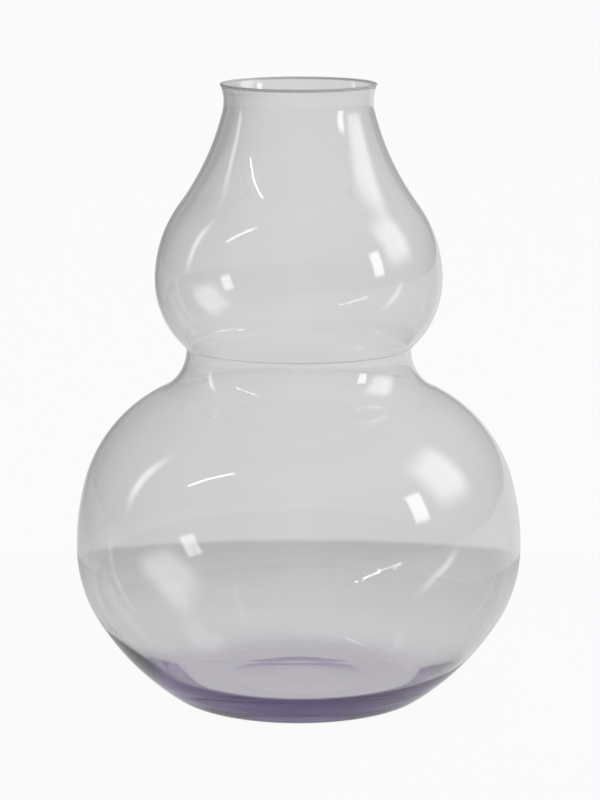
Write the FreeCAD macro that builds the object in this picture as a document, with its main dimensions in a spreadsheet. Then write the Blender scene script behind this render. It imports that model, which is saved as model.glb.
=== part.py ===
import FreeCAD, Part

# Double gourd vase in free-blown glass.
#
# Two pieces of glass, joined hot. The clear bubble makes the cavity: two stacked bulbs, the
# waist between them, the neck and the flared lip. The lilac gather lies under the bubble, thin
# on the flank and thick in the base, and carries the ground foot with a hollow in its middle.
#
# Millimetres, +Z up. The origin is the centre of the ground foot, on the surface that the
# vase stands on. Every outline is half a section on the XZ plane, turned about Z.

import enum
import math
import os

import Sketcher

SIZES = (
    ("foot_inset", 59.0, "distance of the foot's edge inside the lower bulb's greatest radius"),
    ("heel_curve", 18.0, "round between the foot and the flank"),
    ("flank_curve", 131.2, "curve of the flank, between the heel and the lower bulb"),
    ("punt_radius", 35.0, "radius of the shallow hollow under the foot"),
    ("punt_depth", 0.7, "depth of the hollow"),
    ("punt_curve", 350.0, "curve from the flat top of the hollow to its edge"),
    ("belly_radius", 115.5, "greatest radius of the lower bulb"),
    ("belly_height", 80.0, "height of the lower bulb's greatest radius"),
    ("belly_sole", 10.5, "height where the lower bulb's lower curve would end if it ran on"),
    ("belly_upper_curve", 134.0, "curve of the lower bulb over its greatest radius"),
    ("shoulder_turn", 14.5, "turn from the greatest radius up to the shoulder, in degrees"),
    ("waist_radius", 58.0, "outer radius of the waist"),
    ("waist_lower_curve", 24.5, "hollow curve from the shoulder into the waist"),
    ("waist_upper_curve", 3.0, "tight curve from the waist into the upper bulb"),
    ("bulb_spacing", 139.5, "height between the two bulbs' greatest radii"),
    ("crown_radius", 74.0, "greatest radius of the upper bulb"),
    ("crown_lower_curve", 46.0, "curve of the upper bulb under its greatest radius"),
    ("crown_upper_curve", 65.0, "curve of the upper bulb over its greatest radius"),
    ("neck_rise", 91.5, "height from the upper bulb's greatest radius to the neck"),
    ("neck_radius", 38.3, "outer radius of the neck"),
    ("lip_curve", 22.0, "hollow curve of the neck into the lip"),
    ("lip_turn", 14.0, "turn of that curve below the neck, in degrees"),
    ("lip_height", 9.0, "height of the lip over the neck"),
    ("wall", 1.8, "thickness of the clear wall"),
    ("rim_round", 0.8, "fire-polished round on each side of the rim"),
    ("floor_thickness", 11.3, "height of the cavity's floor over the foot"),
    ("corner_curve", 40.0, "curve from the cavity's floor into its wall"),
    ("skin", 0.9, "clear glass between the cavity and the gather"),
)

FULL_TURN = 360.0
OUTER = ""
INNER = " - Sizes.wall"
INNER_HOLLOW = " + Sizes.wall"
JOINT = " + Sizes.skin"
SAME_LEVEL = 1e-3
MM3_IN_CM3 = 1000.0
OVERLAP_SHARE = 1e-3


class Spot(enum.IntEnum):
    """The sketcher's own numbers for its axes and for the points of an edge."""

    TURNING_AXIS = -2
    FLAT_AXIS = -1
    FIRST = 1
    LAST = 2
    CENTRE = 3


ORIGIN = (Spot.FLAT_AXIS, Spot.FIRST)


def point(across, up):
    return FreeCAD.Vector(across, up, 0)


def direction(degrees):
    return point(math.cos(math.radians(degrees)), math.sin(math.radians(degrees)))


def beyond(start, through, distance):
    """The point at a distance from start, on the way to another point."""
    way = through - start
    return start + way * (distance / way.Length)


def centre_on_right(start, reach, goal, goal_reach):
    """The point at two distances from two others, to the right of the way between them."""
    way = goal - start
    along = (way.dot(way) + reach ** 2 - goal_reach ** 2) / (2 * way.Length)
    aside = math.sqrt(reach ** 2 - along ** 2)
    ahead = way / way.Length
    return start + ahead * along + point(ahead.y, -ahead.x) * aside


class Base:
    """Centres and joins of the half section under the lower bulb's greatest radius.

    The cavity's wall runs parallel to the outside, so both share their centres. The inset is
    the distance of a surface inside the outside.
    """

    def __init__(self, sheet, inset):
        belly = sheet.belly_height - sheet.belly_sole
        foot_radius = sheet.belly_radius - sheet.foot_inset
        self.belly = point(sheet.belly_radius - inset, sheet.belly_height)
        self.belly_centre = point(sheet.belly_radius - belly, sheet.belly_height)
        self.heel_centre = point(foot_radius, sheet.heel_curve)
        self.heel_start = point(foot_radius, inset)
        self.flank_centre = centre_on_right(
            self.belly_centre, sheet.flank_curve - belly,
            self.heel_centre, sheet.flank_curve - sheet.heel_curve)
        flank = sheet.flank_curve - inset
        self.flank_top = beyond(self.flank_centre, self.belly_centre, flank)
        self.heel_end = beyond(self.flank_centre, self.heel_centre, flank)


class Bed:
    """Centres and joins of a surface at a depth in the glass under the cavity's own."""

    def __init__(self, sheet, base, depth):
        lining = sheet.flank_curve - sheet.wall
        reach = lining - sheet.corner_curve
        height = sheet.floor_thickness + sheet.corner_curve
        drop = base.flank_centre.y - height
        self.corner_centre = point(base.flank_centre.x + math.sqrt(reach ** 2 - drop ** 2), height)
        self.axis = point(0, sheet.floor_thickness - depth)
        self.floor_end = point(self.corner_centre.x, self.axis.y)
        self.corner_end = beyond(base.flank_centre, self.corner_centre, lining + depth)
        fall = base.flank_centre.y - base.flank_top.y
        across = math.sqrt((lining + depth) ** 2 - fall ** 2)
        self.level_with_flank_top = point(base.flank_centre.x + across, base.flank_top.y)


class Section:
    """Centres and joins of the half section over the lower bulb's greatest radius.

    An inset of the wall gives the cavity's side of the glass. The shoulder and the curve into
    the neck have no size of their own: each follows from the curves beside it.
    """

    def __init__(self, sheet, inset):
        upper = sheet.belly_upper_curve - inset
        bulge = sheet.crown_lower_curve - inset
        crown = sheet.crown_upper_curve - inset
        hollow = sheet.waist_lower_curve + inset
        crease = sheet.waist_upper_curve + inset
        lip = sheet.lip_curve + inset

        self.belly = point(sheet.belly_radius - inset, sheet.belly_height)
        self.upper_centre = self.belly - point(upper, 0)
        self.shoulder = self.upper_centre + direction(sheet.shoulder_turn) * upper

        crown_height = sheet.belly_height + sheet.bulb_spacing
        self.crown = point(sheet.crown_radius - inset, crown_height)
        self.bulge_centre = self.crown - point(bulge, 0)
        self.crown_centre = self.crown - point(crown, 0)

        waist = sheet.waist_radius - inset
        across = waist + crease - self.bulge_centre.x
        waist_height = crown_height - math.sqrt((bulge + crease) ** 2 - across ** 2)
        self.waist = point(waist, waist_height)
        self.hollow_centre = self.waist + point(hollow, 0)
        self.crease_centre = self.waist + point(crease, 0)
        self.crease_top = beyond(self.crease_centre, self.bulge_centre, crease)

        neck_height = crown_height + sheet.neck_rise
        self.lip_centre = point(sheet.neck_radius - inset + lip, neck_height)
        self.lip_start = self.lip_centre - direction(sheet.lip_turn) * lip
        flare = math.sqrt(lip ** 2 - sheet.lip_height ** 2)
        self.rim = self.lip_centre + point(-flare, sheet.lip_height)

        outward = direction(sheet.shoulder_turn)
        gap = self.shoulder - self.hollow_centre
        curve = (gap.dot(gap) - hollow ** 2) / (2 * (gap.dot(outward) + hollow))
        self.shoulder_centre = self.shoulder - outward * curve
        self.hollow_start = beyond(self.shoulder_centre, self.hollow_centre, curve)

        outward = direction(sheet.lip_turn)
        gap = self.lip_start - self.crown_centre
        curve = (gap.dot(gap) - crown ** 2) / (2 * (crown - gap.dot(outward)))
        self.neck_centre = self.lip_start + outward * curve
        self.neck_start = beyond(self.crown_centre, self.neck_centre, crown)


class Outline:
    """A sketch of joined arcs and lines on a body's XZ plane, drawn from the foot upwards."""

    def __init__(self, body, name):
        self.sketch = body.newObject("Sketcher::SketchObject", name)
        planes = [f for f in body.Origin.OriginFeatures if f.Role == "XZ_Plane"]
        self.sketch.AttachmentSupport = [(planes[0], "")]
        self.sketch.MapMode = "FlatFace"

    def line(self, start, end):
        """A line, given back as its number with its first and last points."""
        number = self.sketch.addGeometry(Part.LineSegment(start, end), False)
        return number, Spot.FIRST, Spot.LAST

    def arc(self, centre, start, end, guide=False):
        """An arc, the short way round, as its number with its first and last points."""
        first = math.atan2(start.y - centre.y, start.x - centre.x)
        last = math.atan2(end.y - centre.y, end.x - centre.x)
        circle = Part.Circle(centre, FreeCAD.Vector(0, 0, 1), (start - centre).Length)
        anticlockwise = math.remainder(last - first, 2 * math.pi) > 0
        span = (first, last) if anticlockwise else (last, first)
        number = self.sketch.addGeometry(Part.ArcOfCircle(circle, *span), guide)
        return (number, Spot.FIRST, Spot.LAST) if anticlockwise else (number, Spot.LAST, Spot.FIRST)

    def rule(self, *words):
        """A constraint with no size."""
        self.sketch.addConstraint(Sketcher.Constraint(*words))

    def size(self, formula, *words):
        """A constraint whose size is bound to the sheet."""
        number = self.sketch.addConstraint(Sketcher.Constraint(*words))
        self.sketch.setExpression("Constraints[%d]" % number, formula)

    def smooth(self, *pieces):
        """Joins each piece to the next with no corner between them."""
        for before, after in zip(pieces, pieces[1:]):
            self.rule("Tangent", before[0], before[2], after[0], after[1])

    def corner(self, *pieces):
        """Joins each piece to the next at a corner."""
        for before, after in zip(pieces, pieces[1:]):
            self.rule("Coincident", before[0], before[2], after[0], after[1])

    def radius(self, piece, formula, value):
        self.size(formula, "Radius", piece[0], value)

    def across(self, number, vertex, formula, value):
        """Fixes how far a point lies from the axis."""
        self.size(formula, "DistanceX", *ORIGIN, number, vertex, value)

    def up(self, number, vertex, formula, value):
        """Fixes how high a point lies over the foot."""
        self.size(formula, "DistanceY", *ORIGIN, number, vertex, value)

    def on_axis(self, number, vertex):
        self.rule("PointOnObject", number, vertex, Spot.TURNING_AXIS)

    def curve_of(self, piece):
        return self.sketch.Geometry[piece[0]].Radius


def draw_flank(outline, base, inset, guides=True):
    """The heel, the flank and the belly up to its greatest radius, bound to the sheet."""
    heel = outline.arc(base.heel_centre, base.heel_start, base.heel_end, guides)
    flank = outline.arc(base.flank_centre, base.heel_end, base.flank_top, guides)
    belly = outline.arc(base.belly_centre, base.flank_top, base.belly)
    outline.smooth(heel, flank, belly)
    outline.radius(heel, "Sizes.heel_curve" + inset, outline.curve_of(heel))
    outline.rule("Vertical", heel[0], Spot.CENTRE, heel[0], heel[1])
    outline.across(heel[0], Spot.CENTRE, "Sizes.belly_radius - Sizes.foot_inset", base.heel_centre.x)
    outline.up(heel[0], Spot.CENTRE, "Sizes.heel_curve", base.heel_centre.y)
    outline.radius(flank, "Sizes.flank_curve" + inset, outline.curve_of(flank))

    belly_curve = "Sizes.belly_height - Sizes.belly_sole" + inset
    outline.radius(belly, belly_curve, outline.curve_of(belly))
    outline.up(belly[0], belly[2], "Sizes.belly_height", base.belly.y)
    outline.across(belly[0], belly[2], "Sizes.belly_radius" + inset, base.belly.x)
    outline.rule("Horizontal", belly[0], Spot.CENTRE, belly[0], belly[2])
    return heel, flank, belly


def draw_bed(outline, bed, depth):
    """A floor and the corner into the wall, at a depth under the cavity's own."""
    floor = outline.line(bed.axis, bed.floor_end)
    corner = outline.arc(bed.corner_centre, bed.floor_end, bed.corner_end)
    outline.smooth(floor, corner)
    outline.rule("Horizontal", floor[0])
    outline.on_axis(floor[0], floor[1])
    height = "Sizes.floor_thickness + Sizes.corner_curve"
    outline.up(corner[0], Spot.CENTRE, height, bed.corner_centre.y)
    outline.radius(corner, "Sizes.corner_curve" + depth, outline.curve_of(corner))
    return floor, corner


def draw_bulbs(outline, section, belly, inset, hollow_inset):
    """The chain from the belly's greatest radius to the rim, and its last piece."""
    pieces = [
        belly,
        outline.arc(section.upper_centre, section.belly, section.shoulder),
        outline.arc(section.shoulder_centre, section.shoulder, section.hollow_start),
        outline.arc(section.hollow_centre, section.hollow_start, section.waist),
        outline.arc(section.crease_centre, section.waist, section.crease_top),
        outline.arc(section.bulge_centre, section.crease_top, section.crown),
        outline.arc(section.crown_centre, section.crown, section.neck_start),
        outline.arc(section.neck_centre, section.neck_start, section.lip_start),
        outline.arc(section.lip_centre, section.lip_start, section.rim),
    ]
    outline.smooth(*pieces)
    upper, shoulder, hollow, crease, bulge, crown, neck, lip = pieces[1:]

    upper_curve = "(Sizes.belly_upper_curve%s)" % inset
    shoulder_rise = upper_curve + " * sin(Sizes.shoulder_turn * 1deg)"
    shoulder_height = "Sizes.belly_height + " + shoulder_rise
    outline.radius(upper, upper_curve, outline.curve_of(upper))
    outline.up(upper[0], upper[2], shoulder_height, section.shoulder.y)

    outline.radius(hollow, "Sizes.waist_lower_curve" + hollow_inset, outline.curve_of(hollow))
    outline.rule("Horizontal", hollow[0], Spot.CENTRE, hollow[0], hollow[2])
    outline.across(hollow[0], hollow[2], "Sizes.waist_radius" + inset, section.waist.x)
    outline.radius(crease, "Sizes.waist_upper_curve" + hollow_inset, outline.curve_of(crease))

    crown_height = "Sizes.belly_height + Sizes.bulb_spacing"
    outline.radius(bulge, "Sizes.crown_lower_curve" + inset, outline.curve_of(bulge))
    outline.rule("Horizontal", bulge[0], Spot.CENTRE, bulge[0], bulge[2])
    outline.across(bulge[0], bulge[2], "Sizes.crown_radius" + inset, section.crown.x)
    outline.up(bulge[0], bulge[2], crown_height, section.crown.y)
    outline.radius(crown, "Sizes.crown_upper_curve" + inset, outline.curve_of(crown))

    neck_height = crown_height + " + Sizes.neck_rise"
    lip_curve = "(Sizes.lip_curve%s)" % hollow_inset
    lip_start = "%s - %s * sin(Sizes.lip_turn * 1deg)" % (neck_height, lip_curve)
    outline.radius(lip, lip_curve, outline.curve_of(lip))
    outline.across(lip[0], Spot.CENTRE, "Sizes.neck_radius + Sizes.lip_curve", section.lip_centre.x)
    outline.up(lip[0], Spot.CENTRE, neck_height, section.lip_centre.y)
    outline.up(lip[0], lip[1], lip_start, section.lip_start.y)
    outline.up(lip[0], lip[2], neck_height + " + Sizes.lip_height", section.rim.y)
    return lip


def close_to_axis(outline, top, first, section):
    """Closes an outline over its last piece and down the axis to its first piece."""
    across = outline.line(section.rim, point(0, section.rim.y))
    start = outline.sketch.getPoint(first[0], first[1])
    down = outline.line(point(0, section.rim.y), point(0, start.y))
    outline.corner(top, across, down, first)
    outline.rule("Horizontal", across[0])
    outline.on_axis(across[0], across[2])


def draw_joint(outline, sheet, base, flank):
    """The bed of the bubble in the gather, and the gather's level upper edge."""
    bed = Bed(sheet, base, sheet.skin)
    floor, corner = draw_bed(outline, bed, JOINT)
    lining = outline.arc(base.flank_centre, bed.corner_end, bed.level_with_flank_top)
    edge = outline.line(bed.level_with_flank_top, base.flank_top)
    outline.smooth(corner, lining)
    outline.corner(lining, edge)
    outline.rule("Horizontal", edge[0])
    outline.rule("Coincident", lining[0], Spot.CENTRE, flank[0], Spot.CENTRE)
    outline.radius(lining, "Sizes.flank_curve - Sizes.wall" + JOINT, outline.curve_of(lining))
    return floor, edge


def turn_about_axis(body, feature, name, outline):
    """A full turn of an outline about the vase's axis."""
    turned = body.newObject(feature, name)
    turned.Profile = outline.sketch
    turned.ReferenceAxis = (outline.sketch, ["V_Axis"])
    turned.Angle = FULL_TURN
    return turned


def make_clear_bubble(doc, sheet):
    """The clear glass: both bulbs, the waist, the neck and the lip, around one cavity."""
    body = doc.addObject("PartDesign::Body", "ClearBubble")
    body.Label = "clear_bubble"
    outside = Section(sheet, 0.0)
    inside = Section(sheet, sheet.wall)

    skin = Outline(body, "BubbleOutside")
    base = Base(sheet, 0.0)
    heel, flank, belly = draw_flank(skin, base, OUTER)
    floor, edge = draw_joint(skin, sheet, base, flank)
    skin.corner(edge, belly)
    lip = draw_bulbs(skin, outside, belly, OUTER, OUTER)
    close_to_axis(skin, lip, floor, outside)
    turn_about_axis(body, "PartDesign::Revolution", "BubbleSolid", skin)

    cavity = Outline(body, "BubbleCavity")
    base = Base(sheet, sheet.wall)
    heel, guide, belly = draw_flank(cavity, base, INNER)
    bed = Bed(sheet, base, 0.0)
    floor, corner = draw_bed(cavity, bed, OUTER)
    lining = cavity.arc(base.flank_centre, bed.corner_end, base.flank_top)
    cavity.smooth(corner, lining)
    cavity.corner(lining, belly)
    cavity.rule("Coincident", lining[0], Spot.CENTRE, guide[0], Spot.CENTRE)
    lip = draw_bulbs(cavity, inside, belly, INNER, INNER_HOLLOW)
    close_to_axis(cavity, lip, floor, inside)
    turn_about_axis(body, "PartDesign::Groove", "BubbleHollow", cavity)
    doc.recompute()

    polish = body.newObject("PartDesign::Fillet", "RimPolish")
    polish.Base = (body.getObject("BubbleHollow"), rim_edges(body, outside.rim.y))
    polish.setExpression("Radius", "Sizes.rim_round")
    return body


def rim_edges(body, top):
    """Names of the two round edges of the rim, which both lie level with the top."""
    names = []
    for number, edge in enumerate(body.getObject("BubbleHollow").Shape.Edges, start=1):
        box = edge.BoundBox
        if abs(box.ZMin - top) < SAME_LEVEL and abs(box.ZMax - top) < SAME_LEVEL:
            names.append("Edge%d" % number)
    return names


def make_lilac_gather(doc, sheet):
    """The lilac glass: the flank, the heel, the ground foot and the hollow in it."""
    body = doc.addObject("PartDesign::Body", "LilacGather")
    body.Label = "lilac_gather"
    base = Base(sheet, 0.0)
    drop = sheet.punt_curve - sheet.punt_depth
    flat = sheet.punt_radius - math.sqrt(sheet.punt_curve ** 2 - drop ** 2)
    top = point(0, sheet.punt_depth)
    flat_end = point(flat, sheet.punt_depth)
    foot_start = point(sheet.punt_radius, 0)

    outline = Outline(body, "GatherSection")
    hollow = outline.line(top, flat_end)
    side = outline.arc(point(flat, -drop), flat_end, foot_start)
    foot = outline.line(foot_start, base.heel_start)
    heel, flank, guide = draw_flank(outline, base, OUTER, guides=False)
    outline.sketch.setConstruction(guide[0], True)
    floor, edge = draw_joint(outline, sheet, base, flank)
    core = outline.line(outline.sketch.getPoint(floor[0], floor[1]), top)

    outline.smooth(hollow, side)
    outline.corner(side, foot, heel)
    outline.corner((floor[0], floor[2], floor[1]), core, hollow)
    outline.rule("Coincident", flank[0], flank[2], edge[0], edge[2])
    outline.rule("Horizontal", hollow[0])
    outline.rule("Horizontal", foot[0])
    outline.on_axis(hollow[0], hollow[1])
    outline.up(hollow[0], hollow[1], "Sizes.punt_depth", top.y)
    outline.radius(side, "Sizes.punt_curve", sheet.punt_curve)
    outline.across(foot[0], foot[1], "Sizes.punt_radius", foot_start.x)
    turn_about_axis(body, "PartDesign::Revolution", "GatherSolid", outline)
    return body


def fill_sheet(doc):
    """Writes each driving size into the sheet under its own name."""
    sheet = doc.addObject("Spreadsheet::Sheet", "Sizes")
    for row, (name, value, meaning) in enumerate(SIZES, start=1):
        sheet.set("A%d" % row, name)
        sheet.set("B%d" % row, str(value))
        sheet.set("C%d" % row, meaning)
        sheet.setAlias("B%d" % row, name)
    doc.recompute()
    return sheet


def check(doc, bodies):
    """Stops before anything is written if an object failed or a shape isn't one sound solid."""
    for item in doc.Objects:
        if "Invalid" in item.State or "Error" in item.State:
            raise RuntimeError("%s failed: %s" % (item.Label, item.State))
        if item.isDerivedFrom("Sketcher::SketchObject") and not item.FullyConstrained:
            raise RuntimeError("%s has a loose size" % item.Label)
    for body in bodies:
        shape = body.Shape
        if shape.isNull() or not shape.isValid() or len(shape.Solids) != 1:
            raise RuntimeError("%s isn't one sound solid" % body.Label)
    clear, lilac = bodies
    if len(clear.getObject("RimPolish").Base[1]) != 2:
        raise RuntimeError("the rim hasn't its two edges")
    overlap = clear.Shape.common(lilac.Shape).Volume
    if overlap > OVERLAP_SHARE * lilac.Shape.Volume:
        raise RuntimeError("the two glasses overlap")


def main():
    doc = FreeCAD.newDocument("DoubleGourdVase")
    sheet = fill_sheet(doc)
    bodies = [make_clear_bubble(doc, sheet), make_lilac_gather(doc, sheet)]
    doc.recompute()
    check(doc, bodies)
    os.makedirs("parts", exist_ok=True)
    for body in bodies:
        body.Shape.exportStep("parts/%s.step" % body.Label)
        volume = body.Shape.Volume / MM3_IN_CM3
        print("%s: %.1f cm3" % (body.Label, volume))


main()
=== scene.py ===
"""Double gourd vase in free-blown glass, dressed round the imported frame.

Two bulbs of clear glass over a base gathered in lilac glass, on a pale floor in soft studio
light. The scene is in metres, in the frame of the solids. Only the vase's section is drawn in
millimetres, and it is turned into metres where its points become a mesh.
"""

import logging
import math
from collections.abc import Iterator
from contextlib import contextmanager
from dataclasses import dataclass, field
from enum import Enum

import bmesh
import bpy
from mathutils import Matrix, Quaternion, Vector


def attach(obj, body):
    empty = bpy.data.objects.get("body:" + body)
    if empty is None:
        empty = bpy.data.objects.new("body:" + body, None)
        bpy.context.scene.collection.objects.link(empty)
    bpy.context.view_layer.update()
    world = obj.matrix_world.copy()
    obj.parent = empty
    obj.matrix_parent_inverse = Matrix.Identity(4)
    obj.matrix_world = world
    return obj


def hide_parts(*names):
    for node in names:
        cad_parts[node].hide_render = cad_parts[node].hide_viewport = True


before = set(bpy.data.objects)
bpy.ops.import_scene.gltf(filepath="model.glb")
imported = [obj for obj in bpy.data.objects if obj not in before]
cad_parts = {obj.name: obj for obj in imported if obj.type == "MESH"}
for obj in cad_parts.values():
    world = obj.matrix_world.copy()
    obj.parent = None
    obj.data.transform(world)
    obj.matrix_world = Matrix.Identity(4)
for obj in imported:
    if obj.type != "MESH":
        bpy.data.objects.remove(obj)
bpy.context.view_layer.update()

LOG = logging.getLogger("vase")
MM = 0.001
FULL_TURN = 2 * math.pi
COARSEST_TURN = math.radians(8)
FEWEST_STEPS = 3
SAME_SPOT = 1e-4
BODY = "root"
JOINT_MARK = "joint"

# A value on its way from node to node
Signal = bpy.types.NodeSocket


class Ray(Enum):
    """Kinds of ray that a surface can tell apart, as the Light Path node names them."""

    CAMERA = "Is Camera Ray"
    GLOSSY = "Is Glossy Ray"
    THROUGH_GLASS = "Is Transmission Ray"


class Ease(Enum):
    """How a ramp goes from its low to its high level, as the Map Range node names it."""

    EVEN = "LINEAR"
    SMOOTH = "SMOOTHSTEP"


class Glass(Enum):
    """The vase's two glasses, with the record's slot of each."""

    CLEAR = "clear_glass"
    LILAC = "lilac_glass"


# Points of the half section, in millimetres across from the axis and up from the foot


def spot(across: float, up: float) -> Vector:
    """A point of the half section."""
    return Vector((across, up))


def bearing(degrees: float) -> Vector:
    """A direction in the half section, turned up from straight outwards."""
    return spot(math.cos(math.radians(degrees)), math.sin(math.radians(degrees)))


def beyond(start: Vector, through: Vector, distance: float) -> Vector:
    """The point at a distance from start, on the way to another point."""
    return start + (through - start).normalized() * distance


def arc(centre: Vector, start: Vector, end: Vector, step: float) -> list[Vector]:
    """Points along an arc, the short way round, both ends included.

    Args:
        centre: the arc's centre.
        start: its first point.
        end: its last point.
        step: longest distance between two points.

    Returns:
        The points, in order.
    """
    first = math.atan2(start.y - centre.y, start.x - centre.x)
    turn = math.remainder(math.atan2(end.y - centre.y, end.x - centre.x) - first, FULL_TURN)
    reach = (start - centre).length
    by_length, by_turn = abs(turn) * reach / step, abs(turn) / COARSEST_TURN
    count = max(FEWEST_STEPS, math.ceil(by_length), math.ceil(by_turn))
    angles = [first + turn * i / count for i in range(count + 1)]
    return [centre + spot(math.cos(a), math.sin(a)) * reach for a in angles]


def line(start: Vector, end: Vector, step: float) -> list[Vector]:
    """Points along a straight run, both ends included."""
    count = max(1, math.ceil((end - start).length / step))
    return [start.lerp(end, i / count) for i in range(count + 1)]


def joined(*runs: list[Vector]) -> list[Vector]:
    """Joins runs of points end to end.

    Args:
        runs: the runs, in order.

    Returns:
        One run, in which the end of a run and the start of the next are one point.
    """
    points = [runs[0][0]]
    for run in runs:
        points += [p for i, p in enumerate(run) if i or (p - points[-1]).length > SAME_SPOT]
    return points


@dataclass(frozen=True)
class VaseSizes:
    """The sizes of the vase, in millimetres and degrees, as its solids have them."""

    foot_inset: float = 59.0
    heel_curve: float = 18.0
    flank_curve: float = 131.2
    punt_radius: float = 35.0
    punt_depth: float = 0.7
    punt_curve: float = 350.0
    belly_radius: float = 115.5
    belly_height: float = 80.0
    belly_sole: float = 10.5
    belly_upper_curve: float = 134.0
    shoulder_turn: float = 14.5
    waist_radius: float = 58.0
    waist_lower_curve: float = 24.5
    waist_upper_curve: float = 3.0
    bulb_spacing: float = 139.5
    crown_radius: float = 74.0
    crown_lower_curve: float = 46.0
    crown_upper_curve: float = 65.0
    neck_rise: float = 91.5
    neck_radius: float = 38.3
    lip_curve: float = 22.0
    lip_turn: float = 14.0
    lip_height: float = 9.0
    wall: float = 1.8
    floor_thickness: float = 11.3
    corner_curve: float = 40.0
    skin: float = 0.9


@dataclass(frozen=True)
class Steps:
    """Longest distance between two points of the section, in millimetres, place by place."""

    wall: float = 2.8
    heel: float = 1.0
    waist: float = 1.0
    crease: float = 0.4
    lip: float = 0.8
    punt_top: float = 5.0
    punt_side: float = 1.5
    foot: float = 4.0
    cavity_floor: float = 6.0
    joint_end: float = 0.6


@dataclass(frozen=True)
class Loop:
    """A closed section from the axis to the axis, and which of its steps lie in the joint."""

    points: list[Vector]
    joint_from: int
    joint_to: int


@dataclass
class VaseSection:
    """Half section of the vase: a chain of tangent arcs, outside and inside.

    The inset of a chain is the distance of a surface inside the outside one. The rim's turn
    is in degrees, its roundness is its height as a share of half its width, and the walls end
    the rim's clearance under it.
    """

    sizes: VaseSizes = field(default_factory=VaseSizes)
    steps: Steps = field(default_factory=Steps)
    rim_turn: int = 15
    rim_roundness: float = 0.62
    rim_clearance: float = 0.2

    def base_centres(self) -> tuple[Vector, Vector, Vector]:
        """Finds the centres of the base's three tangent arcs.

        Returns:
            The centres of the heel, the flank and the belly's lower curve.
        """
        s = self.sizes
        belly = s.belly_height - s.belly_sole
        belly_centre = spot(s.belly_radius - belly, s.belly_height)
        heel_centre = spot(s.belly_radius - s.foot_inset, s.heel_curve)
        reach, goal_reach = s.flank_curve - belly, s.flank_curve - s.heel_curve
        way = heel_centre - belly_centre
        along = (way.length_squared + reach**2 - goal_reach**2) / (2 * way.length)
        ahead = way.normalized()
        aside = math.sqrt(reach**2 - along**2)
        flank_centre = belly_centre + ahead * along + spot(ahead.y, -ahead.x) * aside
        return heel_centre, flank_centre, belly_centre

    def foot(self) -> list[Vector]:
        """Draws the hollow under the foot and the flat foot.

        Returns:
            The points from the axis outwards.
        """
        s = self.sizes
        drop = s.punt_curve - s.punt_depth
        flat = s.punt_radius - math.sqrt(s.punt_curve**2 - drop**2)
        top, flat_end = spot(0, s.punt_depth), spot(flat, s.punt_depth)
        edge, heel_start = spot(s.punt_radius, 0), spot(s.belly_radius - s.foot_inset, 0)
        return joined(line(top, flat_end, self.steps.punt_top),
                      arc(spot(flat, -drop), flat_end, edge, self.steps.punt_side),
                      line(edge, heel_start, self.steps.foot))

    def flank(self) -> list[Vector]:
        """Draws the outside over the heel and the flank.

        Returns:
            The points from the foot's edge to the flank's top.
        """
        s = self.sizes
        heel_centre, flank_centre, belly_centre = self.base_centres()
        heel_start = spot(heel_centre.x, 0)
        heel_end = beyond(flank_centre, heel_centre, s.flank_curve)
        top = beyond(flank_centre, belly_centre, s.flank_curve)
        return joined(arc(heel_centre, heel_start, heel_end, self.steps.heel),
                      arc(flank_centre, heel_end, top, self.steps.wall))

    def bed(self, depth: float) -> list[Vector]:
        """Draws the cavity's floor, its corner and the wall beside it, or the joint under them.

        Args:
            depth: 0 for the cavity's own surface, else the distance of the joint under it.

        Returns:
            The points from the axis up to the flank's top, or level with it for the joint.
        """
        s = self.sizes
        _, flank_centre, belly_centre = self.base_centres()
        lining = s.flank_curve - s.wall
        reach, height = lining - s.corner_curve, s.floor_thickness + s.corner_curve
        drop = flank_centre.y - height
        corner_centre = spot(flank_centre.x + math.sqrt(reach**2 - drop**2), height)
        axis = spot(0, s.floor_thickness - depth)
        floor_end = spot(corner_centre.x, axis.y)
        corner_end = beyond(flank_centre, corner_centre, lining + depth)
        top = beyond(flank_centre, belly_centre, lining)
        if depth:
            level = beyond(flank_centre, belly_centre, s.flank_curve).y
            across = math.sqrt((lining + depth) ** 2 - (flank_centre.y - level) ** 2)
            top = spot(flank_centre.x + across, level)
        return joined(line(axis, floor_end, self.steps.cavity_floor),
                      arc(corner_centre, floor_end, corner_end, self.steps.wall),
                      arc(flank_centre, corner_end, top, self.steps.wall))

    def bulbs(self, inset: float) -> list[Vector]:
        """Draws the chain of arcs over both bulbs.

        Args:
            inset: 0 for the outside, the wall's thickness for the cavity.

        Returns:
            The points from the flank's top to the rim.
        """
        s = self.sizes
        _, flank_centre, belly_centre = self.base_centres()
        start = beyond(flank_centre, belly_centre, s.flank_curve - inset)
        upper, bulge = s.belly_upper_curve - inset, s.crown_lower_curve - inset
        crown, hollow = s.crown_upper_curve - inset, s.waist_lower_curve + inset
        crease, lip = s.waist_upper_curve + inset, s.lip_curve + inset

        belly = spot(s.belly_radius - inset, s.belly_height)
        upper_centre = belly - spot(upper, 0)
        shoulder = upper_centre + bearing(s.shoulder_turn) * upper

        crown_level = s.belly_height + s.bulb_spacing
        widest = spot(s.crown_radius - inset, crown_level)
        bulge_centre, crown_centre = widest - spot(bulge, 0), widest - spot(crown, 0)

        waist = s.waist_radius - inset
        across = waist + crease - bulge_centre.x
        narrow = spot(waist, crown_level - math.sqrt((bulge + crease) ** 2 - across**2))
        hollow_centre, crease_centre = narrow + spot(hollow, 0), narrow + spot(crease, 0)
        crease_top = beyond(crease_centre, bulge_centre, crease)

        lip_centre = spot(s.neck_radius - inset + lip, crown_level + s.neck_rise)
        lip_start = lip_centre - bearing(s.lip_turn) * lip
        rim = lip_centre + spot(-math.sqrt(lip**2 - s.lip_height**2), s.lip_height)

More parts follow.
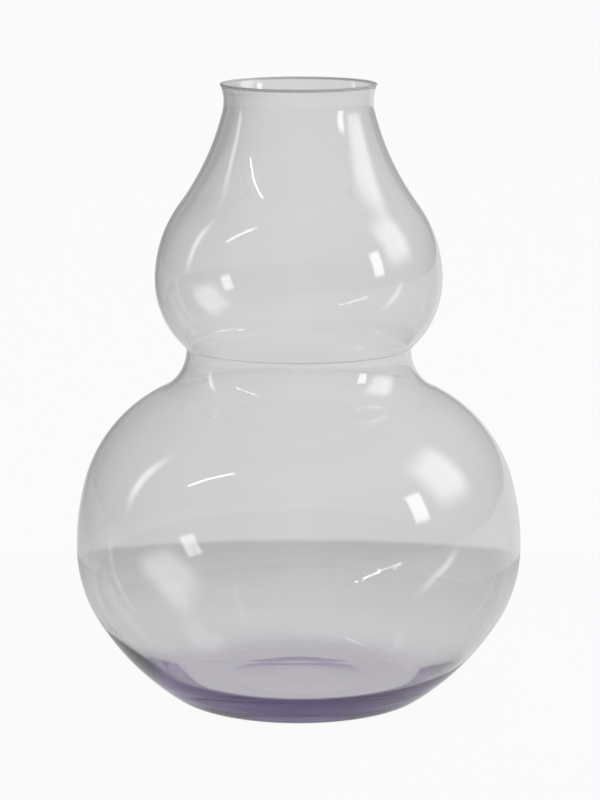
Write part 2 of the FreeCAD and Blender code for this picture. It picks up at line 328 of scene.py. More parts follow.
        outward, gap = bearing(s.shoulder_turn), shoulder - hollow_centre
        curve = (gap.length_squared - hollow**2) / (2 * (gap.dot(outward) + hollow))
        shoulder_centre = shoulder - outward * curve
        hollow_start = beyond(shoulder_centre, hollow_centre, curve)

        outward, gap = bearing(s.lip_turn), lip_start - crown_centre
        curve = (gap.length_squared - crown**2) / (2 * (crown - gap.dot(outward)))
        neck_centre = lip_start + outward * curve
        neck_start = beyond(crown_centre, neck_centre, crown)

        return joined(
            arc(belly_centre, start, belly, self.steps.wall),
            arc(upper_centre, belly, shoulder, self.steps.wall),
            arc(shoulder_centre, shoulder, hollow_start, self.steps.wall),
            arc(hollow_centre, hollow_start, narrow, self.steps.waist),
            arc(crease_centre, narrow, crease_top, self.steps.crease),
            arc(bulge_centre, crease_top, widest, self.steps.wall),
            arc(crown_centre, widest, neck_start, self.steps.wall),
            arc(neck_centre, neck_start, lip_start, self.steps.wall),
            arc(lip_centre, lip_start, rim, self.steps.lip),
        )

    def rim(self, outside: Vector, inside: Vector) -> list[Vector]:
        """Draws the fire-polished round between the two walls.

        Args:
            outside: where the outside ends.
            inside: where the cavity's wall ends.

        Returns:
            The points from the outside over the top, at the rim's level, to the inside.
        """
        middle, half = (outside + inside) / 2, (outside - inside).length / 2
        across = (outside - inside).normalized()
        turns = [math.radians(a) for a in range(0, 180 + self.rim_turn, self.rim_turn)]
        drops = [spot(0, half * self.rim_roundness * (1 - math.sin(a))) for a in turns]
        return [middle + across * half * math.cos(a) - d for a, d in zip(turns, drops)]

    def clear_loop(self) -> Loop:
        """Draws the section of the clear glass.

        Returns:
            The loop over its bed in the gather, the outside, the rim and the cavity.
        """
        outside, inside = self.bulbs(0.0), self.bulbs(self.sizes.wall)
        rim = self.rim(outside[-1], inside[-1])
        below_rim = rim[0].y - self.rim_clearance
        outside = [p for p in outside if p.y < below_rim]
        inside = [p for p in inside if p.y < below_rim]
        bed = self.bed(self.sizes.skin)
        joint = joined(bed, line(bed[-1], outside[0], self.steps.joint_end))
        whole = joined(joint, outside, rim, inside[::-1], self.bed(0.0)[::-1])
        return Loop(whole, 0, len(joint) - 1)

    def gather_loop(self, overlap: float) -> Loop:
        """Draws the section of the lilac glass.

        Args:
            overlap: how far its bed reaches into the clear glass, so that no air lies between.

        Returns:
            The loop from the axis under the foot, over the flank, round to its bed.
        """
        outside = joined(self.foot(), self.flank())
        bed = self.bed(self.sizes.skin - overlap)
        lift = spot(0, overlap)
        end = line(outside[-1] + lift, bed[-1] + lift, self.steps.joint_end)
        joint = joined(end, (bed[:-1])[::-1])
        whole = joined(outside, joint)
        return Loop(whole, len(whole) - len(joint), len(whole))


# Node trees


def grey(level: float) -> tuple[float, float, float, float]:
    """A colour without hue, where 0 is black and 1 is white."""
    return level, level, level, 1.0


class Board:
    """A node tree with short ways to add nodes, feed them and compute."""

    def __init__(self, tree: bpy.types.NodeTree) -> None:
        """Takes the tree of a material, a lamp, the world or a modifier."""
        self.nodes, self.links = tree.nodes, tree.links

    def add(self, kind: str, feeds: dict | None = None, **settings: object) -> bpy.types.Node:
        """Adds a node, sets it and feeds its inputs.

        Args:
            kind: the node's type.
            feeds: for each input, by name or number, a socket to link or a value to set.
            settings: the node's own properties.

        Returns:
            The node.
        """
        node = self.nodes.new(kind)
        for key, value in settings.items():
            setattr(node, key, value)
        for key, value in (feeds or {}).items():
            self.feed(node.inputs[key], value)
        return node

    def feed(self, target: Signal, value: object) -> None:
        """Links a socket to an input, or sets the input's own value.

        Args:
            target: the input.
            value: another node's output, or a plain value.
        """
        if isinstance(value, Signal):
            self.links.new(value, target)
        else:
            target.default_value = value

    def math(self, operation: str, *terms: object) -> Signal:
        """The result of a Math node on sockets or numbers."""
        feeds = dict(enumerate(terms))
        return self.add("ShaderNodeMath", feeds, operation=operation).outputs[0]

    def ramp(self, value: Signal, start: object, end: object, low: object = 0.0,
             high: object = 1.0, ease: Ease = Ease.EVEN) -> Signal:
        """Leads a level from low to high while a value goes from start to end.

        Args:
            value: what the level depends on.
            start: the value up to which the level is low.
            end: the value from which the level is high.
            low: the level at the start.
            high: the level at the end.
            ease: how the level goes between them.

        Returns:
            The level.
        """
        return self.add("ShaderNodeMapRange", {
            "Value": value, "From Min": start, "From Max": end, "To Min": low, "To Max": high},
            interpolation_type=ease.value).outputs[0]


@dataclass
class Socket:
    """A named input of a Geometry Nodes tree, with the value that it gets."""

    name: str
    kind: str
    value: object = None


def sized(name: str, value: float) -> Socket:
    """A named input for a number."""
    return Socket(name, "NodeSocketFloat", value)


def counted(name: str, value: int) -> Socket:
    """A named input for a whole number."""
    return Socket(name, "NodeSocketInt", value)


class Tree(Board):
    """A Geometry Nodes tree that makes one mesh from another and dresses it."""

    def __init__(self, name: str, finish: bpy.types.Material, sockets: list[Socket]) -> None:
        """Starts a tree with a geometry input, its named inputs and a geometry output.

        Args:
            name: the tree's name.
            finish: the material of what it makes.
            sockets: its other named inputs.
        """
        self.group = bpy.data.node_groups.new(name, "GeometryNodeTree")
        super().__init__(self.group)
        face = self.group.interface
        face.new_socket("Geometry", in_out="INPUT", socket_type="NodeSocketGeometry")
        self.values = {}
        for socket in [*sockets, Socket("Finish", "NodeSocketMaterial", finish)]:
            made = face.new_socket(socket.name, in_out="INPUT", socket_type=socket.kind)
            self.values[made.identifier] = socket.value
        face.new_socket("Geometry", in_out="OUTPUT", socket_type="NodeSocketGeometry")
        self.inputs = self.nodes.new("NodeGroupInput").outputs
        self.results = self.nodes.new("NodeGroupOutput").inputs

    def finish(self, geometry: Signal) -> None:
        """Ends the tree with its instances made real and its finish set.

        Args:
            geometry: what the tree has made.
        """
        real = self.add("GeometryNodeRealizeInstances", {"Geometry": geometry})
        dressed = self.add("GeometryNodeSetMaterial", {
            "Geometry": real.outputs[0], "Material": self.inputs["Finish"]})
        self.feed(self.results["Geometry"], dressed.outputs[0])

    def apply(self, start: bpy.types.Mesh, name: str) -> bpy.types.Mesh:
        """Runs the tree on a mesh.

        Args:
            start: the mesh to start from.
            name: a name for the short-lived object that carries it.

        Returns:
            The result as a plain mesh, with the finish in its only slot.
        """
        carrier = bpy.data.objects.new(name, start)
        bpy.context.scene.collection.objects.link(carrier)
        modifier = carrier.modifiers.new(name, "NODES")
        modifier.node_group = self.group
        for key, value in self.values.items():
            modifier[key] = value
        seen = carrier.evaluated_get(bpy.context.evaluated_depsgraph_get())
        mesh = bpy.data.meshes.new_from_object(seen)
        mesh.materials.pop(index=0)
        carrier.modifiers.remove(modifier)
        bpy.data.objects.remove(carrier)
        return mesh


@contextmanager
def reworked(mesh: bpy.types.Mesh) -> Iterator[bmesh.types.BMesh]:
    """Opens a mesh for changes and writes them back at the end.

    Args:
        mesh: the mesh.

    Yields:
        Its editable form.
    """
    made = bmesh.new()
    made.from_mesh(mesh)
    yield made
    made.to_mesh(mesh)
    made.free()


# Shapes


@dataclass
class TurnedGlass:
    """A closed glass shape: a section turned about the vase's axis, a little uneven.

    The unevenness is that of hot glass worked by hand. It draws the surface inwards only, so
    the shape stays inside its solids, and it dies away at the foot and at the axis. The gather
    took more glass on one side of the flank. There the section's rows from thick_from on lie
    further inwards, more and more over the heights of the rise and less and less over those of
    the fall. For the gather these rows are its bed. For the bubble, which lies in that bed at
    these heights, they are all its rows.
    """

    name: str
    loop: Loop
    finish: bpy.types.Material
    segments: int = 240
    unevenness: float = 0.25 * MM
    patch: float = 26.0
    patch_detail: float = 1.0
    calm_below: float = 6.0 * MM
    calm_inside: float = 20.0 * MM
    thick_side: float = 1.8 * MM
    thick_towards: float = math.radians(196)
    thick_narrowness: float = 1.5
    thick_rise: tuple[float, float] = (6.0 * MM, 16.0 * MM)
    thick_fall: tuple[float, float] = (14.0 * MM, 43.8 * MM)
    thick_from: int = 0
    seam: float = 1e-6
    shortest_edge: float = 1e-7
    corner: float = math.radians(28)

    def section_mesh(self) -> bpy.types.Mesh:
        """Turns the loop into loose points.

        Returns:
            A mesh with only these points, in metres.
        """
        mesh = bpy.data.meshes.new(self.name + "_section")
        mesh.from_pydata([(p.x * MM, 0.0, p.y * MM) for p in self.loop.points], [], [])
        return mesh

    def empty_tree(self) -> Tree:
        """Starts the tree with the sizes of this shape.

        Returns:
            The tree, with all its named inputs.
        """
        return Tree(self.name + "_lathe", self.finish, [
            counted("Segments", self.segments),
            sized("Unevenness", self.unevenness),
            sized("Patch scale", self.patch),
            sized("Calm below", self.calm_below),
            sized("Calm inside", self.calm_inside),
            sized("Seam", self.seam),
            sized("Thick side", self.thick_side),
            sized("Thick towards", self.thick_towards),
            sized("Thick narrowness", self.thick_narrowness),
            sized("Rise from", self.thick_rise[0]),
            sized("Rise to", self.thick_rise[1]),
            sized("Fall from", self.thick_fall[0]),
            sized("Fall to", self.thick_fall[1]),
            counted("Thick from", self.thick_from),
            counted("Joint from", self.loop.joint_from),
            counted("Joint to", self.loop.joint_to),
        ])

    def section_point(self, tree: Tree, row: Signal) -> tuple[Signal, Signal]:
        """Looks up a point of the section.

        Args:
            tree: the tree.
            row: the point's number.

        Returns:
            Its distance from the axis and its height.
        """
        point = tree.add("GeometryNodeSampleIndex", {
            "Geometry": tree.inputs["Geometry"], "Index": row,
            "Value": tree.add("GeometryNodeInputPosition").outputs[0]},
            data_type="FLOAT_VECTOR")
        parts = tree.add("ShaderNodeSeparateXYZ", {0: point.outputs[0]}).outputs
        return parts["X"], parts["Z"]

    def hand_worked(self, tree: Tree, place: Signal, height: Signal, off_axis: Signal) -> Signal:
        """Works out the unevenness.

        Args:
            tree: the tree.
            place: the point before it is moved.
            height: its height.
            off_axis: 0 at the axis and 1 away from it.

        Returns:
            How far the point moves inwards for it.
        """
        noise = tree.add("ShaderNodeTexNoise", {
            "Vector": place, "Scale": tree.inputs["Patch scale"], "Detail": self.patch_detail})
        calm = tree.math("SUBTRACT", tree.math("DIVIDE", height, tree.inputs["Calm below"]), 1.0)
        grown = tree.add("ShaderNodeClamp", {"Value": calm}).outputs[0]
        amount = tree.math("MULTIPLY", noise.outputs[0], tree.inputs["Unevenness"])
        return tree.math("MULTIPLY", amount, tree.math("MULTIPLY", grown, off_axis))

    def thicker(self, tree: Tree, angle: Signal, row: Signal, height: Signal,
                off_axis: Signal) -> Signal:
        """Works out the gather's thicker side.

        Args:
            tree: the tree.
            angle: the point's angle about the axis.
            row: its number in the section.
            height: its height.
            off_axis: 0 at the axis and 1 away from it.

        Returns:
            How far the point moves inwards for it.
        """
        inputs = tree.inputs
        facing = tree.math("COSINE", tree.math("SUBTRACT", angle, inputs["Thick towards"]))
        ahead = tree.math("MAXIMUM", facing, 0.0)
        side = tree.math("POWER", ahead, inputs["Thick narrowness"])
        rise = tree.ramp(height, inputs["Rise from"], inputs["Rise to"], ease=Ease.SMOOTH)
        fall = tree.ramp(height, inputs["Fall from"], inputs["Fall to"], 1.0, 0.0, Ease.SMOOTH)
        inner = tree.math("GREATER_THAN", tree.math("ADD", row, 0.5), inputs["Thick from"])
        level = tree.math("MULTIPLY", rise, fall)
        band = tree.math("MULTIPLY", level, tree.math("MULTIPLY", inner, off_axis))
        return tree.math("MULTIPLY", tree.math("MULTIPLY", band, side), inputs["Thick side"])

    def joint_mark(self, tree: Tree, index: Signal, rows: Signal) -> Signal:
        """Tells which faces lie in the joint between the two glasses.

        Args:
            tree: the tree.
            index: the face's number.
            rows: how many points the section has.

        Returns:
            1 for a face in the joint, else 0.
        """
        step = tree.math("FLOORED_MODULO", index, tree.math("SUBTRACT", rows, 1.0))
        middle = tree.math("ADD", step, 0.5)
        after = tree.math("GREATER_THAN", middle, tree.inputs["Joint from"])
        before = tree.math("LESS_THAN", middle, tree.inputs["Joint to"])
        return tree.math("MULTIPLY", after, before)

    def tree(self) -> Tree:
        """Builds the tree that turns the section and closes its seam and poles.

        Returns:
            The tree.
        """
        tree = self.empty_tree()
        inputs = tree.inputs
        counts = tree.add("GeometryNodeAttributeDomainSize", {"Geometry": inputs["Geometry"]})
        rows = counts.outputs[0]
        columns = tree.math("ADD", inputs["Segments"], 1.0)
        sheet = tree.add("GeometryNodeMeshGrid", {"Vertices X": columns, "Vertices Y": rows})
        index = tree.add("GeometryNodeInputIndex").outputs[0]
        row = tree.math("FLOORED_MODULO", index, rows)
        column = tree.math("FLOOR", tree.math("DIVIDE", index, rows))
        share = tree.math("DIVIDE", column, inputs["Segments"])
        angle = tree.math("MULTIPLY", share, FULL_TURN)
        east, north = tree.math("COSINE", angle), tree.math("SINE", angle)
        reach, height = self.section_point(tree, row)
        place = tree.add("ShaderNodeCombineXYZ", {
            "X": tree.math("MULTIPLY", reach, east), "Y": tree.math("MULTIPLY", reach, north),
            "Z": height}).outputs[0]
        off_axis = tree.math("MINIMUM", tree.math("DIVIDE", reach, inputs["Calm inside"]), 1.0)
        uneven = self.hand_worked(tree, place, height, off_axis)
        thicker = self.thicker(tree, angle, row, height, off_axis)
        pull = tree.math("MULTIPLY", tree.math("ADD", uneven, thicker), -1.0)
        inwards = tree.add("ShaderNodeCombineXYZ", {
            "X": tree.math("MULTIPLY", pull, east), "Y": tree.math("MULTIPLY", pull, north)})
        placed = tree.add("GeometryNodeSetPosition", {
            "Geometry": sheet.outputs["Mesh"], "Position": place, "Offset": inwards.outputs[0]})
        marked = tree.add("GeometryNodeStoreNamedAttribute", {
            "Geometry": placed.outputs[0], "Name": JOINT_MARK,
            "Value": self.joint_mark(tree, index, rows)}, data_type="FLOAT", domain="FACE")
        closed = tree.add("GeometryNodeMergeByDistance", {
            "Geometry": marked.outputs[0], "Distance": inputs["Seam"]})
        tree.finish(closed.outputs[0])
        return tree

    def mesh(self) -> bpy.types.Mesh:
        """Makes the closed mesh.

        Returns:
            The mesh, its faces outwards, smooth but for real corners.
        """
        mesh = self.tree().apply(self.section_mesh(), self.name)
        with reworked(mesh) as made:
            bmesh.ops.dissolve_degenerate(made, dist=self.shortest_edge, edges=made.edges)
            bmesh.ops.recalc_face_normals(made, faces=made.faces)
            if made.calc_volume(signed=True) < 0:
                bmesh.ops.reverse_faces(made, faces=made.faces)
        mesh.shade_smooth()
        mesh.set_sharp_from_angle(angle=self.corner)
        mesh.name = self.name
        return mesh


@dataclass
class Seeds:
    """Seeds: the small bubbles of air that the lilac gather took in.

    They lie on a band half way through the gather. Its rings are given by their radius and
    height in millimetres, its ends by their angle about the axis in degrees, and how close
    the seeds lie by their number in a square metre.
    """

    finish: bpy.types.Material
    rings: tuple[tuple[float, float], ...] = ((61.5, 5.8), (69.3, 9.2), (77.2, 13.9), (85.2, 20.4))
    first_turn: int = 150
    last_turn: int = 235
    turn_step: int = 5
    closeness: float = 25000.0
    seed: int = 7
    smallest: float = 0.12 * MM
    largest: float = 0.40 * MM
    roundness: int = 2

    def bed(self) -> bpy.types.Mesh:
        """Makes the band on which the seeds lie.

        Returns:
            The band as a mesh, in metres.
        """
        degrees = range(self.first_turn, self.last_turn + 1, self.turn_step)
        turns = [math.radians(a) for a in degrees]
        points = [(radius * MM * math.cos(a), radius * MM * math.sin(a), height * MM)
                  for radius, height in self.rings for a in turns]
        width = len(turns)
        corners = [j * width + i for j in range(len(self.rings) - 1) for i in range(width - 1)]
        faces = [(c, c + 1, c + width + 1, c + width) for c in corners]
        mesh = bpy.data.meshes.new("seed_bed")
        mesh.from_pydata(points, [], faces)
        return mesh

    def tree(self) -> Tree:
        """Builds the tree that scatters the seeds over the band, each with its own size.

        Returns:
            The tree.
        """
        tree = Tree("seeds", self.finish, [
            sized("Closeness", self.closeness),
            sized("Smallest", self.smallest),
            sized("Largest", self.largest),
            counted("Seed", self.seed),
        ])
        inputs = tree.inputs
        spots = tree.add("GeometryNodeDistributePointsOnFaces", {
            "Mesh": inputs["Geometry"], "Density": inputs["Closeness"], "Seed": inputs["Seed"]})
        size = tree.add("FunctionNodeRandomValue", {
            2: inputs["Smallest"], 3: inputs["Largest"], "Seed": inputs["Seed"]},
            data_type="FLOAT")
        ball = tree.add("GeometryNodeMeshIcoSphere", {
            "Radius": 1.0, "Subdivisions": self.roundness})
        placed = tree.add("GeometryNodeInstanceOnPoints", {
            "Points": spots.outputs[0], "Instance": ball.outputs[0], "Scale": size.outputs[1]})
        tree.finish(placed.outputs[0])
        return tree

    def hollows(self) -> bpy.types.Mesh:
        """Makes the seeds.

        Returns:
            One mesh of closed hollows, whose faces look into the air in them.
        """
        mesh = self.tree().apply(self.bed(), "seeds")
        with reworked(mesh) as made:
            bmesh.ops.recalc_face_normals(made, faces=made.faces)
            bmesh.ops.reverse_faces(made, faces=made.faces)
        mesh.shade_smooth()
        return mesh


# Finishes


class Shader(Board):
    """A material's node tree, with only its output to begin with."""

    def __init__(self, name: str) -> None:
        """Starts the material.

        Args:
            name: the material's name.
        """
        self.material = bpy.data.materials.new(name)
        self.material.use_nodes = True
        super().__init__(self.material.node_tree)
        self.nodes.clear()
        self.results = self.nodes.new("ShaderNodeOutputMaterial").inputs


@dataclass(frozen=True)
class GlassFinish:
    """Blown glass: clear through, fire-polished, with faint cords and a ground foot.

    Cords are the long faint waves that working leaves on blown glass. They are longer up the
    vase than round it. The rim is painted pale from rim_from to rim_full, which are heights in
    metres: a pale diffuse coat is mixed in there as a painted highlight, for the light that a
    real rim catches from all sides. Faces in the joint between two glasses neither bend nor
    scatter light.
    """

    name: str
    absorbed: tuple[float, float, float]
    density: float
    tint: float = 0.985
    ior: float = 1.5
    polish: float = 0.004
    ground: float = 0.05
    ground_below: float = 0.02 * MM
    # Share of the rim's painted highlight: a pale diffuse coat mixed into the glass
    rim_painted_highlight: float = 0.0
    rim_from: float = 0.3182
    rim_full: float = 0.3192
    rim_highlight_tone: float = 0.92
    cord_strength: float = 0.05
    cord_height: float = 0.0004
    cord_scale: tuple[float, float, float] = (34.0, 34.0, 9.0)
    cord_detail: float = 2.0
    cord_roughness: float = 0.45

    def cords(self, shader: Shader, place: Signal) -> Signal:
        """Tilts the surface along the cords.

        Args:
            shader: the material's tree.
            place: the point on the piece.

        Returns:
            The direction that the surface faces.
        """
        stretched = shader.add("ShaderNodeMapping", {"Vector": place, "Scale": self.cord_scale})
        waves = shader.add("ShaderNodeTexNoise", {
            "Vector": stretched.outputs[0], "Scale": 1.0, "Detail": self.cord_detail,
            "Roughness": self.cord_roughness})
        return shader.add("ShaderNodeBump", {
            "Strength": self.cord_strength, "Distance": self.cord_height,
            "Height": waves.outputs[0]}).outputs[0]

    def build(self) -> bpy.types.Material:
        """Makes the material, with its absorption on sockets of its own.

        Returns:
            The material.
        """
        shader = Shader(self.name)
        place = shader.add("ShaderNodeTexCoord").outputs["Object"]
        height = shader.add("ShaderNodeSeparateXYZ", {0: place}).outputs["Z"]
        joint = shader.add("ShaderNodeAttribute", attribute_name=JOINT_MARK).outputs["Fac"]
        free = shader.math("SUBTRACT", 1.0, joint)
        bending = shader.math("MULTIPLY_ADD", free, self.ior - 1.0, 1.0)
        foot = shader.math("LESS_THAN", height, self.ground_below)
        haze = shader.math("MULTIPLY", foot, self.ground)
        roughness = shader.math("MULTIPLY", shader.math("ADD", haze, self.polish), free)
        body = shader.add("ShaderNodeBsdfPrincipled", {
            "Base Color": grey(self.tint), "Roughness": roughness, "IOR": bending,
            "Transmission Weight": 1.0, "Normal": self.cords(shader, place)})
        depth = shader.add("ShaderNodeVolumeAbsorption", {
            "Color": (*self.absorbed, 1.0), "Density": self.density})
        # Painted highlight: near the rim, a pale diffuse coat takes over part of the glass
        caught = shader.ramp(height, self.rim_from, self.rim_full, 0.0, self.rim_painted_highlight,
                             Ease.SMOOTH)
        pale = shader.add("ShaderNodeBsdfDiffuse", {"Color": grey(self.rim_highlight_tone)})
        whole = shader.add("ShaderNodeMixShader", {
            0: caught, 1: body.outputs[0], 2: pale.outputs[0]})
        shader.feed(shader.results["Surface"], whole.outputs[0])
        shader.feed(shader.results["Volume"], depth.outputs[0])
        return shader.material


@dataclass(frozen=True)
class PaleFinish:
    """Pale floor that reads white to the camera and keeps its shadows.

    It is lit paper, covered by an even glow: nearly all of it for the camera, and a part of it
    for rays that come by way of glass. The paper's tone, and the glow that glass sees, fall from
    the centre radius to the near one, as on a table, and rise again up to the far one, as in a
    paler room. The glow that glass sees is also weaker on the left, from left_start to left_end.
    """

    name: str = "pale_floor"
    centre: float = 0.80
    near: float = 0.555
    far: float = 0.76
    farthest: float = 0.81
    centre_radius: float = 0.06
    near_radius: float = 0.350
    far_radius: float = 0.368
    farthest_radius: float = 2.2
    grain_scale: float = 300.0
    grain_detail: float = 3.0
    grain_strength: float = 0.015
    glow: float = 0.94
    glow_in_glass: float = 0.51
    left_end: float = -0.5
    left_start: float = -0.08
    left_share: float = 0.35

    def tone(self, shader: Shader, place: Signal) -> Signal:
        """Works out how light the floor is.

        Args:
            shader: the material's tree.
            place: the point on the floor.

        Returns:
            The tone, where 1 is white.
        """
        distance = shader.add("ShaderNodeVectorMath", {0: place}, operation="LENGTH")
        reach = distance.outputs["Value"]
        table = shader.ramp(reach, self.centre_radius, self.near_radius, self.centre, self.near)
        edge = shader.ramp(reach, self.near_radius, self.far_radius, 0.0, self.far - self.near,
                           Ease.SMOOTH)
        rest = shader.ramp(reach, self.far_radius, self.farthest_radius, 0.0,
                           self.farthest - self.far)
        return shader.math("ADD", table, shader.math("ADD", edge, rest))

    def build(self) -> bpy.types.Material:
        """Makes the material.

        Returns:
            The material.
        """
        shader = Shader(self.name)
        path = shader.add("ShaderNodeLightPath").outputs
        place = shader.add("ShaderNodeTexCoord").outputs["Object"]
        tone = self.tone(shader, place)
        grain = shader.add("ShaderNodeTexNoise", {
            "Vector": place, "Scale": self.grain_scale, "Detail": self.grain_detail})
        speckled = shader.math("MULTIPLY_ADD", grain.outputs[0], self.grain_strength, tone)
        paper = shader.add("ShaderNodeCombineColor", {0: speckled, 1: speckled, 2: speckled})
        lit = shader.add("ShaderNodeBsdfDiffuse", {"Color": paper.outputs[0]})
        across = shader.add("ShaderNodeSeparateXYZ", {0: place}).outputs["X"]
        side = shader.ramp(across, self.left_end, self.left_start, self.left_share, 1.0)
        dimmed = shader.math("MULTIPLY", shader.math("DIVIDE", tone, self.farthest), side)
        strength = shader.math("MAXIMUM", path[Ray.CAMERA.value], dimmed)
        white = shader.add("ShaderNodeEmission", {"Color": grey(1.0), "Strength": strength})
        seen = shader.math("MULTIPLY", path[Ray.CAMERA.value], self.glow)
        glossy = shader.math("MULTIPLY", path[Ray.GLOSSY.value], self.glow_in_glass)
        glass = shader.math("MULTIPLY", path[Ray.THROUGH_GLASS.value], self.glow_in_glass)
        share = shader.math("MAXIMUM", seen, shader.math("MAXIMUM", glossy, glass))
        mixed = shader.add("ShaderNodeMixShader", {
            0: share, 1: lit.outputs[0], 2: white.outputs[0]})
        shader.feed(shader.results["Surface"], mixed.outputs[0])
        return shader.material


# The vase


@dataclass
class Vase:
    """The vase: a clear bubble over a lilac gather.

    The overlap is how far the gather's bed reaches into the clear glass, in millimetres.
    """

    section: VaseSection = field(default_factory=VaseSection)
    overlap: float = 0.04
    # The clear glass carries the painted highlight on its rim
    clear: GlassFinish = GlassFinish(
        "clear_blown_glass", absorbed=(0.44, 0.40, 0.47), density=0.9, rim_painted_highlight=0.55)
    lilac: GlassFinish = GlassFinish(
        "lilac_blown_glass", absorbed=(0.50, 0.37, 0.66), density=22.0)

    def place(self, mesh: bpy.types.Mesh, node: str, slot: Glass) -> bpy.types.Object:
        """Makes a mesh the piece that stands for a node of the frame.

        Args:
            mesh: the piece's mesh.
            node: the name of the node.
            slot: the glass that it is made of; not used.

        Returns:
            The piece.
        """
        piece = bpy.data.objects.new(mesh.name, mesh)
        bpy.context.scene.collection.objects.link(piece)
        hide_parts(node)
        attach(piece, BODY)
        return piece

    def build_bubble(self) -> bpy.types.Object:
        """The clear glass of both bulbs, the waist, the neck and the lip."""
        turned = TurnedGlass("blown_bubble", self.section.clear_loop(), self.clear.build())
        return self.place(turned.mesh(), "clear_bubble", Glass.CLEAR)

    def build_gather(self) -> bpy.types.Object:
        """Builds the lilac glass of the base, with its seeds as hollows in it.

        Returns:
            The piece.
        """
        finish = self.lilac.build()
        loop = self.section.gather_loop(self.overlap)
        turned = TurnedGlass("blown_gather", loop, finish, thick_from=loop.joint_from)
        mesh = turned.mesh()
        with reworked(mesh) as made:
            made.from_mesh(Seeds(finish).hollows())
        return self.place(mesh, "lilac_gather", Glass.LILAC)

    def build(self) -> list[bpy.types.Object]:
        """Both glasses, the clear one first."""
        return [self.build_bubble(), self.build_gather()]


# The studio


@dataclass
class Floor:
    """A wide pale floor, a hair under the foot."""

    name: str = "pale_floor"
    finish: PaleFinish = PaleFinish()
    radius: float = 6.5
    edges: int = 96
    under_foot: float = 0.5 * MM

    def build(self) -> bpy.types.Object:
        """Builds the floor.

        Returns:
            The floor.
        """
        turns = [FULL_TURN * i / self.edges for i in range(self.edges)]
        points = [(self.radius * math.cos(a), self.radius * math.sin(a), -self.under_foot)
                  for a in turns]
        mesh = bpy.data.meshes.new(self.name)
        mesh.from_pydata(points, [], [tuple(range(self.edges))])
        mesh.materials.append(self.finish.build())
        sheet = bpy.data.objects.new(self.name, mesh)
        bpy.context.scene.collection.objects.link(sheet)
        return sheet


@dataclass(frozen=True)
class SoftBox:
    """A flat soft lamp that faces the vase and fades towards its edges.

    The brightness is what a mirror would show in the lamp's middle, where 1 is white. The fade
    is a share of the width and of the height, and the roll is in degrees about the aim.
    """

    name: str
    place: tuple[float, float, float]
    width: float
    height: float
    brightness: float
    fade: float
    roll: float = 0.0
    aim: tuple[float, float, float] = (0.0, 0.0, 0.16)

    def fade_edges(self, lamp: bpy.types.Light) -> None:
        """Dims the lamp smoothly towards its edges.

        Args:
            lamp: the lamp.
        """
        lamp.use_nodes = True
        board = Board(lamp.node_tree)
        spread = board.add("ShaderNodeNewGeometry").outputs["Parametric"]
        sides = board.add("ShaderNodeSeparateXYZ", {0: spread}).outputs
        from_edges = [board.math("PINGPONG", sides[side], 0.5) for side in ("X", "Y")]
        levels = [board.ramp(d, 0.0, self.fade, ease=Ease.SMOOTH) for d in from_edges]
        board.feed(board.nodes["Emission"].inputs["Strength"], board.math("MULTIPLY", *levels))

    def build(self) -> bpy.types.Object:
        """Builds the lamp.

        Returns:
            The lamp.
        """
        lamp = bpy.data.lights.new(self.name, "AREA")
        lamp.shape = "RECTANGLE"
        lamp.size, lamp.size_y = self.width, self.height
        lamp.energy = self.brightness * math.pi * self.width * self.height
        self.fade_edges(lamp)
        held = bpy.data.objects.new(self.name, lamp)
        held.location = self.place
        way = Vector(self.aim) - Vector(self.place)
        rolled = Quaternion((0.0, 0.0, 1.0), math.radians(self.roll))
        held.rotation_euler = (way.to_track_quat("-Z", "Y") @ rolled).to_euler()
        bpy.context.scene.collection.objects.link(held)
        return held


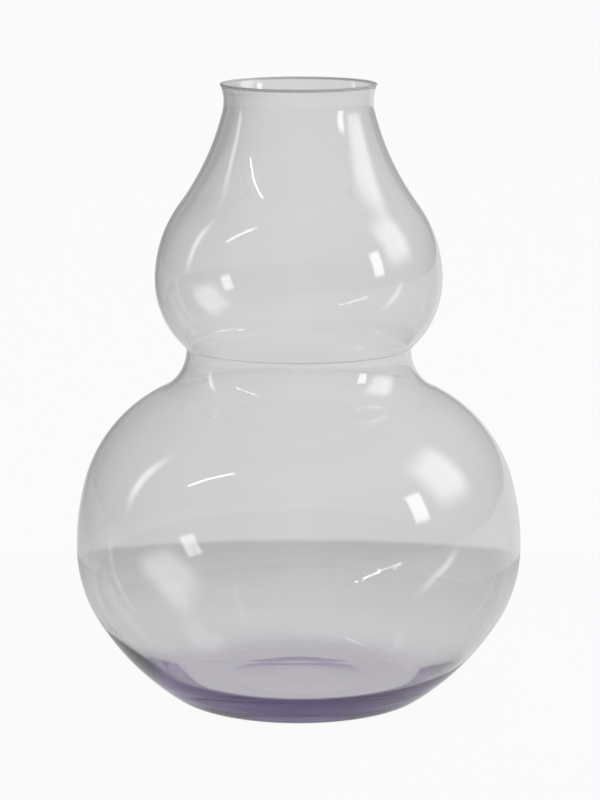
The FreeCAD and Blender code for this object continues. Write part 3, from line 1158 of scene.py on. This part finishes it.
@dataclass
class Studio:
    """The room's soft light: windows on the right, a softer one on the left, a ceiling tube.

    The room grows lighter from room_bottom to room_top, and darker on the left from left_start
    to left_end. These four are parts of the direction in which one looks, upwards or to the
    right. The paint is the room's own tone, which every strength multiplies. Light that is
    caught in the glass needs the many bounces.
    """

    lamps: tuple[SoftBox, ...] = (
        SoftBox("right_window", (1.56, -0.66, 0.70), 0.34, 0.66, 4.2, fade=0.18),
        SoftBox("side_window", (1.56, 0.10, 1.00), 1.20, 1.35, 2.3, fade=0.34),
        SoftBox("left_window", (-1.70, 0.30, 0.86), 0.26, 1.45, 2.6, fade=0.45),
        SoftBox("ceiling_tube", (-1.90, -1.01, 2.16), 1.30, 0.045, 12.0, fade=0.05, roll=52.0),
    )
    paint: float = 0.8
    room_bottom: float = -0.2
    room_top: float = 0.8
    room_low: float = 0.31
    room_high: float = 0.72
    left_end: float = -0.55
    left_start: float = -0.08
    left_share: float = 0.35
    white: float = 1.0
    white_in_glass: float = 0.22
    most_bounces: int = 160

    def build_world(self) -> None:
        """The room: white to the camera, in part to glass, and softly graded to all else."""
        world = bpy.data.worlds.new("room")
        bpy.context.scene.world = world
        world.use_nodes = True
        board = Board(world.node_tree)
        board.nodes.clear()
        view = board.add("ShaderNodeTexCoord").outputs["Generated"]
        way = board.add("ShaderNodeSeparateXYZ", {0: view}).outputs
        level = board.ramp(way["Z"], self.room_bottom, self.room_top, self.room_low,
                           self.room_high)
        side = board.ramp(way["X"], self.left_end, self.left_start, self.left_share, 1.0)
        room = board.add("ShaderNodeBackground", {
            "Color": grey(self.paint), "Strength": board.math("MULTIPLY", level, side)})
        plain = board.add("ShaderNodeBackground", {
            "Color": grey(self.paint), "Strength": self.white})
        path = board.add("ShaderNodeLightPath").outputs
        glass = board.math("MAXIMUM", path[Ray.GLOSSY.value], path[Ray.THROUGH_GLASS.value])
        weak = board.math("MULTIPLY", glass, self.white_in_glass)
        share = board.math("MAXIMUM", path[Ray.CAMERA.value], weak)
        mixed = board.add("ShaderNodeMixShader", {
            0: share, 1: room.outputs[0], 2: plain.outputs[0]})
        output = board.add("ShaderNodeOutputWorld")
        board.feed(output.inputs["Surface"], mixed.outputs[0])

    def build(self) -> None:
        """The room, the bounces that the glass needs, the floor and the lamps."""
        self.build_world()
        paths = bpy.context.scene.cycles
        paths.max_bounces = paths.transmission_bounces = self.most_bounces
        paths.glossy_bounces = self.most_bounces
        Floor().build()
        for lamp in self.lamps:
            lamp.build()


@dataclass(frozen=True)
class Camera:
    """The camera at the photograph's place, tilted down a little.

    The tilt is in degrees, the lens and the sensor in millimetres.
    """

    name: str = "camera"
    place: tuple[float, float, float] = (0.0007, -1.664, 0.46225)
    tilt: float = 10.422
    lens: float = 147.23
    sensor: float = 36.0
    farthest: float = 50.0

    def build(self) -> bpy.types.Object:
        """Builds the camera and makes it the scene's own.

        Returns:
            The camera.
        """
        view = bpy.data.cameras.new(self.name)
        view.lens, view.sensor_width, view.clip_end = self.lens, self.sensor, self.farthest
        held = bpy.data.objects.new(self.name, view)
        held.location = self.place
        held.rotation_euler = (math.pi / 2 - math.radians(self.tilt), 0.0, 0.0)
        bpy.context.scene.collection.objects.link(held)
        bpy.context.scene.camera = held
        return held


def main() -> None:
    """Builds the camera, the vase and the studio, in that order, and reports each piece."""
    logging.basicConfig(level=logging.INFO, format="%(name)s: %(message)s")
    bpy.context.scene.view_settings.view_transform = "Standard"
    Camera().build()
    for piece in Vase().build():
        LOG.info("%s: %d faces", piece.name, len(piece.data.polygons))
    Studio().build()


if __name__ == "__main__":
    main()
